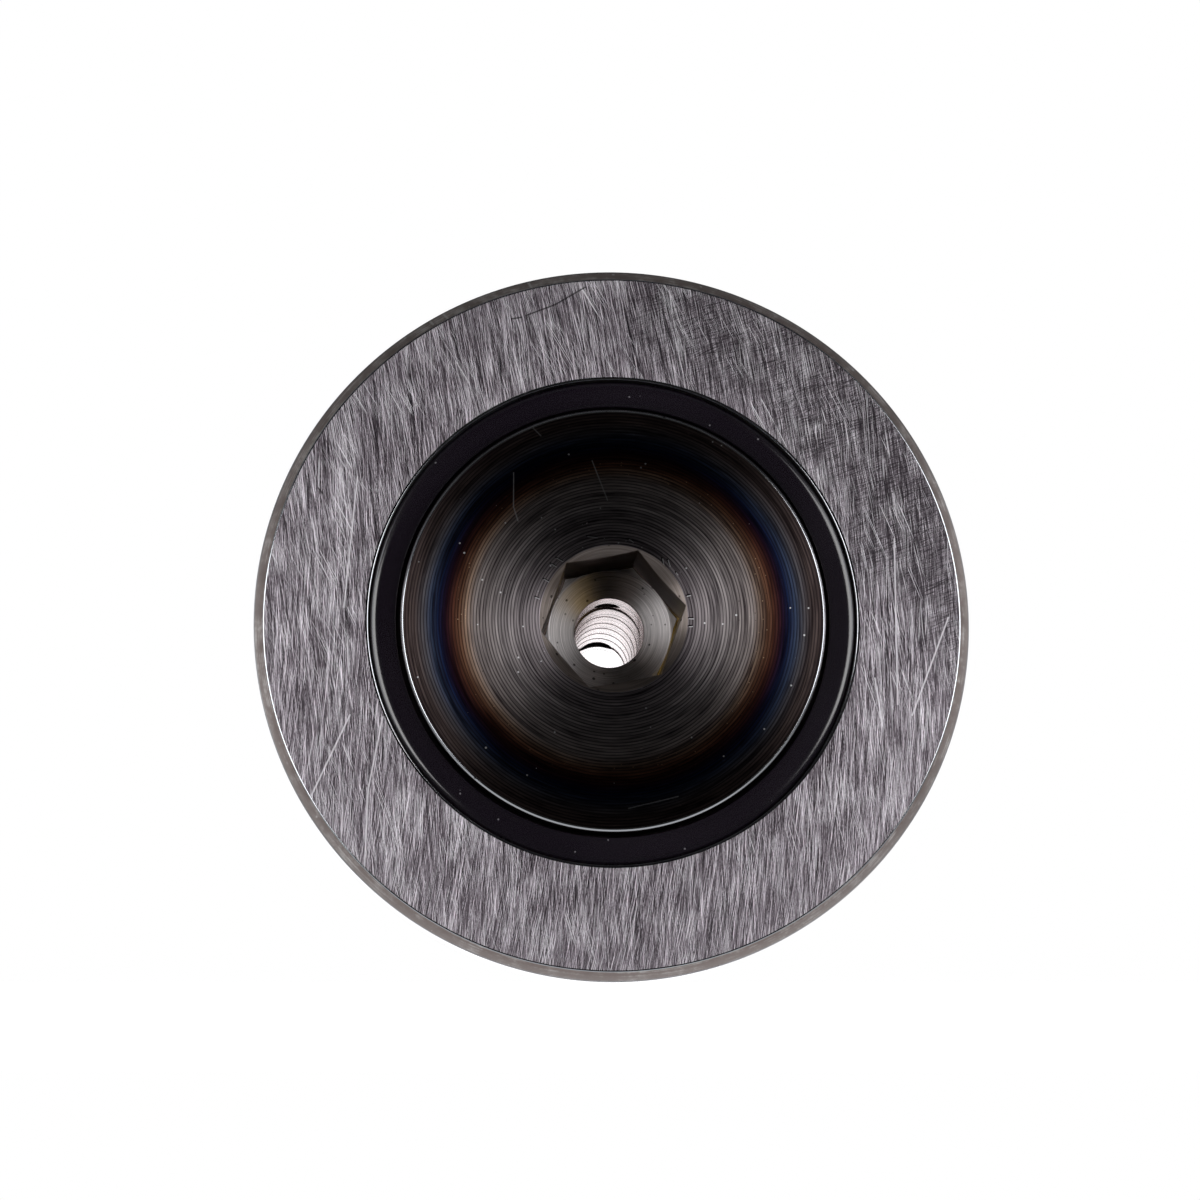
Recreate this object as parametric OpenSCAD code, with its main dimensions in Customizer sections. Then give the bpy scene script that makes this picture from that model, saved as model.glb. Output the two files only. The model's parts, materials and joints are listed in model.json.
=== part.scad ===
// Stud-type track roller: a crowned outer ring turns on two full rows of cylindrical
// rollers around a fixed stud. The axis of rotation is Y. The head looks along -Y and the
// threaded end along +Y. The origin lies on the axis, in the abutment face of the flange ring.

/* [Outer ring] */
// Outer diameter at the middle of the crowned tread
ring_d = 80; // [78:0.5:90]
// Width of the outer ring
ring_w = 35; // [35:0.5:40]
// Radius of the crown of the tread, seen in section
crown_r = 500; // [300:10:1000]
// Chamfer where the tread meets each side face
tread_chamfer = 1.2; // [0.5:0.1:1.5]
// Width of the rib at each end of the raceway
rib_w = 2.35; // [1.8:0.05:3]
// Bore of the two ribs
rib_d = 51; // [50.8:0.1:52]
// Diameter of the seat that holds each shield
seat_d = 54.1; // [53.5:0.1:56]
// Depth of the shield seat below the side face
seat_depth = 3; // [2.6:0.1:3.4]
// Break on the edge of the shield seat
seat_chamfer = 0.2; // [0.1:0.05:0.4]

/* [Rollers] */
// Rollers in each of the two rows
rollers_per_row = 14; // [10:1:14]
// Diameter of a roller
roller_d = 9.94; // [9.8:0.01:9.96]
// Length of a roller
roller_l = 12; // [11:0.05:12]
// Chamfer at each end of a roller
roller_chamfer = 0.35; // [0.2:0.05:0.6]
// Radial clearance between a roller and each raceway
roller_gap = 0.03; // [0.02:0.01:0.05]

/* [Shields] */
// Thickness of the shield sheet
sheet_t = 1.2; // [0.8:0.1:1.4]
// Outside radius of the shield's bend
bend_r = 1.7; // [1.5:0.1:1.9]
// Bore of the shield, which runs clear of the nose
shield_bore = 48; // [47.6:0.1:48.6]
// Depth of the shield below the ring's side face
shield_recess = 0.4; // [0.2:0.1:0.6]

/* [Head and flange ring] */
// Diameter of the nose that shows inside each shield
nose_d = 47; // [46:0.1:47.2]
// Length of each nose
nose_l = 3.4; // [3.2:0.1:3.6]
// Edge chamfer of each nose
nose_chamfer = 0.35; // [0.2:0.05:0.5]
// Diameter of the collar behind each shield
collar_d = 50.4; // [49.5:0.1:50.5]
// Distance that each nose stands proud of the ring's side face
proud = 1; // [0.5:0.1:1.5]

/* [Stud] */
// Diameter of the raceway on the stud
race_d = 35; // [35:0.1:35.2]
// Diameter of the seat that the flange ring is pressed on
flange_seat_d = 33; // [31.5:0.1:34]
// Depth of the groove left between that ring and the shank at the abutment face
seat_short = 0.4; // [0.2:0.1:0.8]
// Diameter of the plain shank
shank_d = 30; // [30:0.1:31]
// Length of the plain shank
shank_l = 31; // [25:0.5:40]
// Diameter over the crests of the thread
thread_d = 29.75; // [28:0.05:29.8]
// Length of the threaded end
thread_l = 32; // [25:0.5:40]
// Chamfer on the threaded end
thread_chamfer = 1.4; // [1:0.1:2]

/* [Hexagon socket] */
// Width of the socket across flats
hex_flats = 14; // [14:0.1:16]
// Depth of the flats
hex_depth = 11; // [9:0.5:12]
// Turn of the socket about the axis, in degrees
hex_turn = 10.5; // [0:0.5:60]
// Diameter of the countersink at the mouth
mouth_d = 16.5; // [16.4:0.1:19]
// Diameter of the drilled hole that the hexagon was broached from
pilot_d = 13.8; // [11:0.1:13.8]
// Angle of the drill point at the bottom of the socket
drill_point = 118; // [90:1:140]

/* [Lubrication] */
// Diameter of the bore that takes a nipple or a plug at each end
nipple_d = 8; // [6:0.5:9]
// Depth of each of those bores
nipple_l = 8; // [8:0.5:12]
// Diameter of the bore that joins them
duct_d = 7.6; // [5:0.1:7.8]
// Diameter of the duct from the bore to the raceway
race_duct_d = 3; // [2:0.5:4]
// Diameter of the duct from the bore to the shank
shank_duct_d = 4; // [2:0.5:5]
// Distance of the shank duct from the abutment face
shank_duct_y = 15; // [10:0.5:20]

/* [Hidden] */
function two_digits(i) = i < 10 ? str("0", i) : str(i);
function front_name(i) = str("front_roller_", two_digits(i));
function rear_name(i) = str("rear_roller_", two_digits(i));

// Places along the axis
ring_mid = -(proud + ring_w / 2);
head_face = 2 * ring_mid;
race_half = ring_w / 2 - seat_depth - rib_w;
shank_end = shank_l + thread_l;

// The rollers fill the space between the raceways with a little play
outer_race_d = race_d + 2 * roller_d + 4 * roller_gap;
pitch_r = (race_d + roller_d) / 2 + roller_gap;
roller_play = (race_half - roller_l) / 2;
row_offset = roller_l / 2 + roller_play;

// The shield reaches from the rib to just below the side face
shield_h = seat_depth - shield_recess;

// Hexagon across its corners, and the places where the socket and its drill point end
hex_corners = hex_flats / cos(30);
socket_floor = head_face + hex_depth;
drill_end = socket_floor + (pilot_d - nipple_d) / 2 / tan(drill_point / 2);

// Cutters run past the faces that they open
over = 1;
round_fn = 180;
crown_fn = 1440;

steel = [0.62, 0.62, 0.64];
ground_steel = [0.5, 0.49, 0.52];
dark_steel = [0.16, 0.15, 0.17];
bright_steel = [0.78, 0.78, 0.8];

// Turns what is drawn along Z to lie along Y
module along_axis() rotate([-90, 0, 0]) children();

// The same shape at both ends: the first is at the rear and its mirror at the front
module mirrored_about_ring() translate([0, 0, ring_mid]) mirror([0, 0, 1]) children();

// A block with its outer upper corner rounded, from the origin to (w, h)
module rounded_block(w, h, r) intersection() {
    square([w, h]);
    union() {
        square([w, h - r]);
        square([w - r, h]);
        translate([w - r, h - r]) circle(r, $fn = round_fn);
    }
}

// Section of the outer ring: x is the radius and y the distance from the ring's middle
module ring_section() {
    half_w = ring_w / 2;
    edge_r = sqrt(crown_r * crown_r - half_w * half_w) - crown_r + ring_d / 2;
    face_r = edge_r - tread_chamfer;
    slope_h = ring_d / 2 - face_r;
    difference() {
        intersection() {
            polygon([
                [rib_d / 2, -half_w],
                [face_r, -half_w],
                [ring_d / 2, slope_h - half_w],
                [ring_d / 2, half_w - slope_h],
                [face_r, half_w],
                [rib_d / 2, half_w]
            ]);
            translate([ring_d / 2 - crown_r, 0]) circle(crown_r, $fn = crown_fn);
        }
        translate([rib_d / 2 - over, -race_half])
            square([(outer_race_d - rib_d) / 2 + over, 2 * race_half]);
        seat_cut();
        mirror([0, 1]) seat_cut();
    }
}

// Section of the cut that makes a shield seat, with its edge broken
module seat_cut() {
    half_w = ring_w / 2;
    polygon([
        [rib_d / 2 - over, half_w - seat_depth],
        [seat_d / 2, half_w - seat_depth],
        [seat_d / 2, half_w - seat_chamfer],
        [seat_d / 2 + seat_chamfer + over, half_w + over],
        [rib_d / 2 - over, half_w + over]
    ]);
}

module outer_ring() color(ground_steel) along_axis()
    translate([0, 0, ring_mid]) rotate_extrude($fn = round_fn) ring_section();

// Section of a shield: an angle of sheet with a round bend, standing on the rib
module shield_section() {
    width = (seat_d - shield_bore) / 2;
    difference() {
        translate([shield_bore / 2, 0]) rounded_block(width, shield_h, bend_r);
        translate([shield_bore / 2 - over, -over])
            rounded_block(width - sheet_t + over, shield_h - sheet_t + over, bend_r - sheet_t);
    }
}

// A shield, drawn with the ring's middle at the origin
module shield() translate([0, 0, race_half + rib_w])
    rotate_extrude($fn = round_fn) shield_section();

module rear_shield() color(dark_steel) along_axis() translate([0, 0, ring_mid]) shield();

module front_shield() color(dark_steel) along_axis() mirrored_about_ring() shield();

// A flat-ended roller with chamfers, its middle at the origin
module roller() {
    tip_r = roller_d / 2 - roller_chamfer;
    chamfer_y = roller_l / 2 - roller_chamfer;
    rotate_extrude($fn = round_fn) polygon([
        [0, -roller_l / 2],
        [tip_r, -roller_l / 2],
        [roller_d / 2, -chamfer_y],
        [roller_d / 2, chamfer_y],
        [tip_r, roller_l / 2],
        [0, roller_l / 2]
    ]);
}

// Roller i of a row: side is -1 at the front and 1 at the rear, half a space apart
module roller_in_row(i, side) {
    space = 360 / rollers_per_row;
    color(bright_steel) along_axis()
        rotate([0, 0, (i - 1) * space + (side + 1) * space / 4])
            translate([pitch_r, 0, ring_mid + side * row_offset]) roller();
}

// Section of the flange ring: x is the radius and y the distance along the axis
module flange_section() {
    race_end = ring_mid + race_half;
    polygon([
        [flange_seat_d / 2, race_end],
        [collar_d / 2, race_end],
        [collar_d / 2, -nose_l],
        [nose_d / 2, -nose_l],
        [nose_d / 2, -nose_chamfer],
        [nose_d / 2 - nose_chamfer, 0],
        [flange_seat_d / 2, 0]
    ]);
}

module flange_ring() color(steel) along_axis()
    rotate_extrude($fn = round_fn) flange_section();

// Section of the stud before its socket and ducts are cut
module stud_section() {
    shank_r = shank_d / 2;
    thread_r = thread_d / 2;
    notch = 0.5;
    polygon([
        [0, head_face],
        [nose_d / 2 - nose_chamfer, head_face],
        [nose_d / 2, head_face + nose_chamfer],
        [nose_d / 2, head_face + nose_l],
        [collar_d / 2, head_face + nose_l],
        [collar_d / 2, ring_mid - race_half],
        [race_d / 2, ring_mid - race_half],
        [race_d / 2, ring_mid + race_half],
        [flange_seat_d / 2, ring_mid + race_half],
        [flange_seat_d / 2, -seat_short],
        [shank_r, -seat_short],
        [shank_r, shank_l - notch],
        [shank_r - notch, shank_l],
        [thread_r, shank_l + thread_r - shank_r + notch],
        [thread_r, shank_end - thread_chamfer],
        [thread_r - thread_chamfer, shank_end],
        [0, shank_end]
    ]);
}

// The hexagon with its countersunk mouth and the cone that the drill leaves
module socket_cut() {
    mouth_end_r = 6;
    translate([0, 0, head_face - over]) rotate([0, 0, -hex_turn])
        cylinder(r = hex_corners / 2, h = hex_depth + over, $fn = 6);
    translate([0, 0, head_face])
        cylinder(r1 = mouth_d / 2, r2 = mouth_end_r, h = mouth_d / 2 - mouth_end_r,
                 $fn = round_fn);
    translate([0, 0, socket_floor])
        cylinder(r1 = pilot_d / 2, r2 = nipple_d / 2, h = drill_end - socket_floor,
                 $fn = round_fn);
}

// The bore through the stud and the two ducts that leave it, both towards +Z
module duct_cut() {
    translate([0, 0, drill_end - over])
        cylinder(d = nipple_d, h = nipple_l + over, $fn = round_fn);
    translate([0, 0, drill_end])
        cylinder(d = duct_d, h = shank_end - drill_end, $fn = round_fn);
    translate([0, 0, shank_end - nipple_l])
        cylinder(d = nipple_d, h = nipple_l + over, $fn = round_fn);
    translate([0, 0, ring_mid]) rotate([90, 0, 0])
        cylinder(d = race_duct_d, h = race_d, $fn = round_fn);
    translate([0, 0, shank_duct_y]) rotate([90, 0, 0])
        cylinder(d = shank_duct_d, h = shank_d, $fn = round_fn);
}

module stud() color(steel) along_axis() difference() {
    rotate_extrude($fn = round_fn) stud_section();
    socket_cut();
    duct_cut();
}

stud();
flange_ring();
outer_ring();
front_shield();
rear_shield();
for (i = [1:rollers_per_row]) {
    roller_in_row(i, -1);
    roller_in_row(i, 1);
}
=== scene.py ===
# %% [markdown]
# # A stud-type track roller, finished for a picture
# The frame holds the roller's working shape: a stud with a flange ring, a crowned outer ring with
# two sheet shields, and two rows of rollers. This lesson gives each its own surface, with broken
# edges, a real thread and the marks of the tool that made it.
# %% Load the frame
import json
import math

import bmesh
import bpy
import numpy as np
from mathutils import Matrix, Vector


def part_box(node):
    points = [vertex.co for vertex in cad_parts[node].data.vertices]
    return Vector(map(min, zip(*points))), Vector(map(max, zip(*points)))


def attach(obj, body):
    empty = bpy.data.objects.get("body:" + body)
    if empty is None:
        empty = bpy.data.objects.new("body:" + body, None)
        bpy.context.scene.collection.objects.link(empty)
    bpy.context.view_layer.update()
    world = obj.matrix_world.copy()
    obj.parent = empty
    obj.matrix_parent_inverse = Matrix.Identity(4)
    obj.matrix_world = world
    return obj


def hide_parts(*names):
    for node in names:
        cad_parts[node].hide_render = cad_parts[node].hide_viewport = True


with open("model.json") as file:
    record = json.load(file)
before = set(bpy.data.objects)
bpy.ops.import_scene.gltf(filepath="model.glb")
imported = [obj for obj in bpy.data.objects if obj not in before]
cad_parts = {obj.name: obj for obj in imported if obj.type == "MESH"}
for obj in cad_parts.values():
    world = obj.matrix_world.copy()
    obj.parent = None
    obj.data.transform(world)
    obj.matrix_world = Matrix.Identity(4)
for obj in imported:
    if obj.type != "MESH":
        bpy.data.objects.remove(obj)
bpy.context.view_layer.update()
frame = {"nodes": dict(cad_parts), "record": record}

MM = 0.001

# %% [markdown]
# ## Sizes
# The roller turns about Y, with its head towards -Y. Places along the axis and the outer radii are
# read from the frame's boxes and mounts, so that the new surfaces follow the design. Only what
# lies inside a piece, where a box can't tell, is written out here, in millimetres.
# %% Sizes from the frame
mounts = {mount["name"]: mount for mount in frame["record"]["mounts"]}


def low_high(node):
    """A node's box in millimetres: the lowest and the highest corner."""
    low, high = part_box(node)
    return np.array(low) / MM, np.array(high) / MM


def mount_radius(name):
    """The radius that a mount of the frame is bored or turned to."""
    return mounts[name]["dims"]["r_mm"]


(ring_left, ring_front, _), (_, ring_rear, _) = low_high("outer_ring")
(_, head_face, _), (collar_r, stud_end, _) = low_high("stud")
(_, shield_face, _), (seat_r, shield_foot, _) = low_high("front_shield")
(_, flange_front, _), _ = low_high("flange_ring")
ring_r = -ring_left
ring_mid = (ring_front + ring_rear) / 2
race_front = 2 * ring_mid - flange_front
shank_r = mount_radius("shank")
crest_r = mount_radius("stud_thread")
nipple_r = mount_radius("front_nipple_bore")
print("ring", ring_r, ring_front, ring_rear, "head", head_face, "stud end", stud_end)

nose_r, nose_l, nose_chamfer = 23.5, 3.4, 0.28
race_r, outer_race_r, rib_r = 17.5, 27.5, 25.5
flange_seat_r, groove_y = 16.5, -0.4
flange_break, shank_chamfer, nipple_chamfer = 0.25, 0.5, 0.5
shank_l, thread_pitch, thread_depth, thread_chamfer = 31.0, 1.5, 0.9, 1.4
hex_flats, hex_depth, hex_turn = 14.0, 11.0, 10.5
mouth_r, pilot_r, drill_point = 8.25, 6.93, 118.0
duct_r, nipple_l, ducts_meet = 3.8, 8.0, 15.0
crown_r, tread_chamfer, face_break, seat_round = 500.0, 1.2, 0.14, 0.17
sheet_t, bend_r, shield_bore_r = 1.2, 1.7, 24.0
race_duct_y, race_duct_r, shank_duct_y, shank_duct_r = -18.5, 1.5, 15.0, 2.0

# %% [markdown]
# ## Turned surfaces
# Nearly every surface of a bearing is turned or ground about one axis. A screw modifier could spin
# an edge, but a grid of numbers is easier to control: a row for each point of the section and a
# column for each direction round the axis. Where the radius changes along a row, the same grid
# makes a hexagon or a thread. Real edges are never sharp: each corner is rounded by a tenth of a
# millimetre or so, and that narrow band catches the light.
# %% Round the corners of a section
def rounded(corners, steps):
    """Rounds each corner of a closed section and returns its points and each point's finish.

    corners is a list of (radius, place along the axis, size of the rounding, finish). Radius and
    place may be arrays with one value for each column. Near a corner C, with unit directions a back
    to the corner before and b on to the next, the section follows
    (1-s)^2 (C + a t) + 2 s (1-s) C + s^2 (C + b t) for s from 0 to 1, where t is the size. One more
    point on each side, at C + 2 a t and C + 2 b t, keeps the flats flat in the shading.
    """
    columns = max(np.size(r) for r, _, _, _ in corners)
    places = np.array([np.stack(np.broadcast_arrays(r, y, np.zeros(columns))[:2], -1)
                       for r, y, _, _ in corners])
    size = np.array([t for _, _, t, _ in corners])[:, None, None]
    back, on = np.roll(places, 1, 0) - places, np.roll(places, -1, 0) - places
    back_l = np.linalg.norm(back, axis=-1, keepdims=True)
    on_l = np.linalg.norm(on, axis=-1, keepdims=True)
    t = np.minimum(size, 0.4 * np.minimum(back_l, on_l))
    hold = np.minimum(2 * t, 0.49 * np.minimum(back_l, on_l))
    back, on = back / back_l, on / on_l
    s = np.linspace(0, 1, steps + 1)[None, :, None, None]
    start, middle, end = [p[:, None] for p in (places + back * t, places, places + on * t)]
    curve = (1 - s) ** 2 * start + 2 * s * (1 - s) * middle + s ** 2 * end
    points = np.concatenate([(places + back * hold)[:, None], curve,
                             (places + on * hold)[:, None]], axis=1)
    finishes = np.repeat([finish for _, _, _, finish in corners], points.shape[1])
    return points.reshape(-1, columns, 2), finishes


# %% [markdown]
# The rounded section is carried round the axis. numpy works out all the points at once, and the
# mesh takes them in one call. Each face keeps the finish of its row, so that one piece can be
# ground here and left black there.
# %% Put a grid of points round the axis
def directions(columns, start=0.0):
    """Angles from +X towards +Z, evenly spaced, the first at start degrees."""
    return math.radians(start) + np.arange(columns) * 2 * math.pi / columns


def make_mesh(name, points, faces, face_finish, finishes):
    """A mesh object from points in millimetres and quads. Each face takes its finish's material."""
    mesh = bpy.data.meshes.new(name)
    mesh.vertices.add(len(points))
    mesh.vertices.foreach_set("co", (points * MM).ravel())
    mesh.loops.add(faces.size)
    mesh.loops.foreach_set("vertex_index", faces.ravel())
    mesh.polygons.add(len(faces))
    mesh.polygons.foreach_set("loop_start", np.arange(len(faces)) * faces.shape[1])
    names = sorted(set(face_finish))
    for finish in names:
        mesh.materials.append(finishes[finish])
    mesh.polygons.foreach_set("material_index", np.searchsorted(names, face_finish))
    mesh.update(calc_edges=True)
    piece = bpy.data.objects.new(name, mesh)
    bpy.context.scene.collection.objects.link(piece)
    return piece


def closed_and_smooth(piece, sharp=40.0):
    """Merges points that meet, drops faces without area, and smooths edges under the sharp angle."""
    work = bmesh.new()
    work.from_mesh(piece.data)
    bmesh.ops.remove_doubles(work, verts=work.verts, dist=1e-4 * MM)
    bmesh.ops.dissolve_degenerate(work, edges=work.edges, dist=1e-4 * MM)
    open_edges = sum(not edge.is_manifold for edge in work.edges)
    volume = work.calc_volume(signed=True)
    work.to_mesh(piece.data)
    work.free()
    piece.data.polygons.foreach_set("use_smooth", np.ones(len(piece.data.polygons), bool))
    piece.data.set_sharp_from_angle(angle=math.radians(sharp))
    print(f"{piece.name}: {len(piece.data.polygons)} faces, {volume / MM ** 3:.0f} mm3, "
          f"{open_edges} open edges")
    return piece


def turned(name, section, row_finish, angles, finishes, over_seam=None):
    """A closed surface from a closed section of rows, each with a radius and a place per column.

    A point is (radius cos(angle), place, radius sin(angle)). The section is listed so that the
    front faces outward, the outside towards +Y and the bore back towards -Y, which turns every face
    outwards. over_seam gives the row that each row joins where the last column meets the first.
    """
    rows, columns = len(section), len(angles)
    radius = np.broadcast_to(section[..., 0], (rows, columns))
    place = np.broadcast_to(section[..., 1], (rows, columns))
    points = np.stack([radius * np.cos(angles), place, radius * np.sin(angles)], -1)
    row, column = np.meshgrid(np.arange(rows), np.arange(columns), indexing="ij")
    joins = np.arange(rows) if over_seam is None else over_seam
    beside = np.where(column == columns - 1, joins[row], row)
    above, above_beside = (row + 1) % rows, np.roll(beside, -1, axis=0)
    next_column = (column + 1) % columns
    faces = np.stack([row * columns + column, above * columns + column,
                      above_beside * columns + next_column, beside * columns + next_column], -1)
    return closed_and_smooth(make_mesh(name, points.reshape(-1, 3), faces.reshape(-1, 4),
                                       np.repeat(row_finish, columns), finishes))


def rounded_piece(name, corners, angles, steps=4):
    """A turned piece with rounded corners, in the finishes of the roller."""
    section, row_finish = rounded(corners, steps)
    return turned(name, section, row_finish, angles, finish)


# %% [markdown]
# ## Ways to wire a material
# A material is a graph of nodes. These short helpers add a node, set its plain values and plug in
# its inputs, so that the recipe of a finish reads like a few lines of arithmetic.
# %% Wiring helpers
class Wires:
    """A node tree with short ways to add nodes. Most of them return the new node's first output."""

    def __init__(self, tree):
        self.tree = tree

    def node(self, kind, inputs=None, **settings):
        made = self.tree.nodes.new(kind)
        for key, value in settings.items():
            setattr(made, key, value)
        for key, value in (inputs or {}).items():
            if isinstance(value, bpy.types.NodeSocket):
                self.tree.links.new(value, made.inputs[key])
            else:
                made.inputs[key].default_value = value
        return made

    def maths(self, operation, *values, clamp=False):
        return self.node("ShaderNodeMath", dict(enumerate(values)), operation=operation,
                         use_clamp=clamp).outputs[0]

    def times(self, a, b):
        return self.maths("MULTIPLY", a, b)

    def plus(self, a, b):
        return self.maths("ADD", a, b)

    def minus(self, a, b):
        return self.maths("SUBTRACT", a, b)

    def most(self, a, b):
        return self.maths("MAXIMUM", a, b)

    def scaled(self, value, factor, more=0.0):
        """value x factor + more."""
        return self.maths("MULTIPLY_ADD", value, factor, more)

    def vector(self, operation, *values):
        made = self.node("ShaderNodeVectorMath", dict(enumerate(values)), operation=operation)
        return made.outputs["Value" if operation in ("LENGTH", "DOT_PRODUCT") else "Vector"]

    def stretched(self, vector, factor):
        return self.node("ShaderNodeVectorMath", {0: vector, "Scale": factor},
                         operation="SCALE").outputs["Vector"]

    def split(self, vector):
        return self.node("ShaderNodeSeparateXYZ", {0: vector}).outputs

    def join(self, x, y, z):
        return self.node("ShaderNodeCombineXYZ", {0: x, 1: y, 2: z}).outputs[0]

    def noise(self, vector, scale=1.0, detail=2.0, roughness=0.5):
        return self.node("ShaderNodeTexNoise", {"Vector": vector, "Scale": scale, "Detail": detail,
                                                "Roughness": roughness}).outputs["Fac"]

    def stretch(self, value, low, high, to_low=0.0, to_high=1.0):
        """Carries low..high to to_low..to_high, and stops at both ends."""
        return self.node("ShaderNodeMapRange", {0: value, 1: low, 2: high, 3: to_low,
                                                4: to_high}).outputs[0]

    def mix(self, factor, a, b, blend="MIX"):
        """Blends two colours."""
        return self.node("ShaderNodeMix", {0: factor, 6: a, 7: b}, data_type="RGBA",
                         blend_type=blend).outputs[2]

    def coat(self, colour, mask, share, tone):
        """Lays a tone over a colour, up to the given share where the mask is 1."""
        return self.mix(self.times(mask, share), colour, rgb(*tone))

    def ramp(self, factor, *stops):
        """Colours at places along a ramp: stops are (place, (r, g, b))."""
        made = self.node("ShaderNodeValToRGB", {0: factor})
        band = made.color_ramp
        while len(band.elements) < len(stops):
            band.elements.new(0.5)
        for element, (place, colour) in zip(band.elements, stops):
            element.position = place
            element.color = (*colour, 1)
        return made.outputs[0]

    def bump(self, height, depth, strength):
        return self.node("ShaderNodeBump", {"Height": height, "Distance": depth * MM,
                                            "Strength": strength}).outputs[0]


def rgb(*values):
    return (*values, 1.0)


# %% [markdown]
# ## Effects that several finishes share
# Grinding lines, turning grooves, scratches and specks turn up on every steel surface here, each
# time with another size and direction. Each effect is a node group with named inputs, made once
# and placed in a material with its own values. It gives only numbers and masks, no shader.
# %% Make a group
def group(*outputs, **inputs):
    """Makes a node group of the function below it, which wires the inputs up to the outputs.

    Each input comes with its default, and None makes it a vector.
    """
    def build(wire_up):
        tree = bpy.data.node_groups.new(wire_up.__name__.replace("_", " "), "ShaderNodeTree")
        for label, default in inputs.items():
            kind = "NodeSocketVector" if default is None else "NodeSocketFloat"
            socket = tree.interface.new_socket(label, in_out="INPUT", socket_type=kind)
            if default is not None:
                socket.default_value = default
        for label in outputs:
            tree.interface.new_socket(label, in_out="OUTPUT", socket_type="NodeSocketFloat")
        wires = Wires(tree)
        given = wires.node("NodeGroupInput").outputs
        results = wire_up(wires, *[given[label] for label in inputs])
        wires.node("NodeGroupOutput", dict(zip(outputs, results)))
        return tree
    return build


def placed(wires, tree, **values):
    """Places a group in a material, or in another group, with values for its inputs."""
    return wires.node("ShaderNodeGroup", values, node_tree=tree).outputs


# %% [markdown]
# **Tool lines.** A grinding wheel or a turning tool leaves lines that are very fine across and long
# along. Noise looked up at (place across / spacing, position / length) gives just that: it changes
# fast across the lines and slowly along them, with no seam, whichever way the lines run. Each line
# is slid along by an amount of its own, so that the strokes don't all begin in one row.
# %% Tool lines
@group("Height", Across=0.0, Position=None, Spacing=0.0001, Length=0.02, Seed=0.0, Detail=2.0)
def tool_lines(w, across, position, spacing, length, seed, detail):
    across = w.maths("DIVIDE", across, spacing)
    x, y, z = w.split(w.stretched(position, w.maths("DIVIDE", 1.0, length)))
    start = w.noise(w.join(w.times(across, 0.61), 5.3, seed), detail=0.0)
    spot = w.join(w.plus(across, seed), w.plus(x, y), w.scaled(start, 7.0, z))
    return [w.stretch(w.noise(spot, detail=detail, roughness=0.62), 0.28, 0.72)]


# %% [markdown]
# **Arcs on a flat face.** The side of the ring was finished under a large wheel, so its lines are
# shallow arcs. In the face's own plane, x + bow z^2 is the same all along one arc. Turning the
# plane first makes the arcs lean.
# %% Place across the arcs
@group("Across", Position=None, Lean=0.0, Bow=2.0)
def arcs(w, position, lean, bow):
    leaning = w.node("ShaderNodeVectorRotate", {"Vector": position, "Angle": lean},
                     rotation_type="Y_AXIS").outputs[0]
    x, _, z = w.split(leaning)
    return [w.scaled(w.times(z, z), bow, x)]


# %% [markdown]
# **Distance from the axis.** Grooves from the lathe and colours from heat are round the axis, so
# both need the radius, sqrt(x^2 + z^2).
# %% Radius
@group("Radius", "Along", Position=None)
def from_axis(w, position):
    x, y, z = w.split(position)
    return [w.maths("SQRT", w.plus(w.times(x, x), w.times(z, z))), y]


# %% [markdown]
# **Scratches.** Handling leaves a few long thin marks. They are the rare peaks of tool lines with
# wide spacing: only the top of the noise passes, and a second, coarse noise breaks it into strokes.
# %% Scratches
@group("Mask", Position=None, Lean=0.0, Bow=0.0, Spacing=0.0003, Length=0.02, Amount=0.1, Seed=0.0)
def scratches(w, position, lean, bow, spacing, length, amount, seed):
    across = placed(w, arcs, Position=position, Lean=lean, Bow=bow)[0]
    lines = placed(w, tool_lines, Across=across, Position=position, Spacing=spacing,
                   Length=length, Seed=seed, Detail=0.0)[0]
    peaks = w.stretch(lines, w.minus(1.0, amount), 1.0)
    shifted = w.vector("ADD", position, w.join(seed, 0.3, 0.7))
    return [w.times(peaks, w.stretch(w.noise(shifted, scale=220.0, detail=1.0), 0.5, 0.58))]


# %% [markdown]
# ** One mark.** A few scratches are placed one by one. Such a mark is a straight line from A to B in
# the face's plane, and its mask is the distance to that line: with h the share of the way from A
# to B that lies nearest, the distance is |P - A - h (B - A)|.
# %% One mark
@group("Mask", Position=None, A=None, B=None, Width=0.0001)
def one_mark(w, position, a, b, width):
    x, _, z = w.split(position)
    from_a, span = w.vector("SUBTRACT", w.join(x, 0.0, z), a), w.vector("SUBTRACT", b, a)
    share = w.maths("DIVIDE", w.vector("DOT_PRODUCT", from_a, span),
                    w.vector("DOT_PRODUCT", span, span), clamp=True)
    distance = w.vector("LENGTH", w.vector("SUBTRACT", from_a, w.stretched(span, share)))
    return [w.stretch(w.maths("DIVIDE", distance, width), 1.0, 0.4)]


def hand_marks(w, marks, width):
    """The strongest of several marks, each (x, z, x, z) from end to end in millimetres."""
    mask = None
    for ax, az, bx, bz in marks:
        more = placed(w, one_mark, Position=w.position, A=(ax * MM, 0.0, az * MM),
                      B=(bx * MM, 0.0, bz * MM), Width=width * MM)[0]
        mask = more if mask is None else w.most(mask, more)
    return mask


# %% [markdown]
# **Specks.** Dust, pits and small nicks are dots of random size: cells of a Voronoi pattern, of
# which only a share keeps a dot.
# %% Specks
@group("Mask", Position=None, Spacing=0.001, Share=0.1)
def specks(w, position, spacing, share):
    cells = w.node("ShaderNodeTexVoronoi", {"Vector": position,
                                            "Scale": w.maths("DIVIDE", 1.0, spacing)}).outputs
    pick, size, _ = w.split(cells["Color"])
    dot = w.stretch(w.maths("DIVIDE", cells["Distance"], w.scaled(size, 0.2, 0.07)), 1.0, 0.6)
    return [w.times(dot, w.maths("LESS_THAN", pick, share))]


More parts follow.
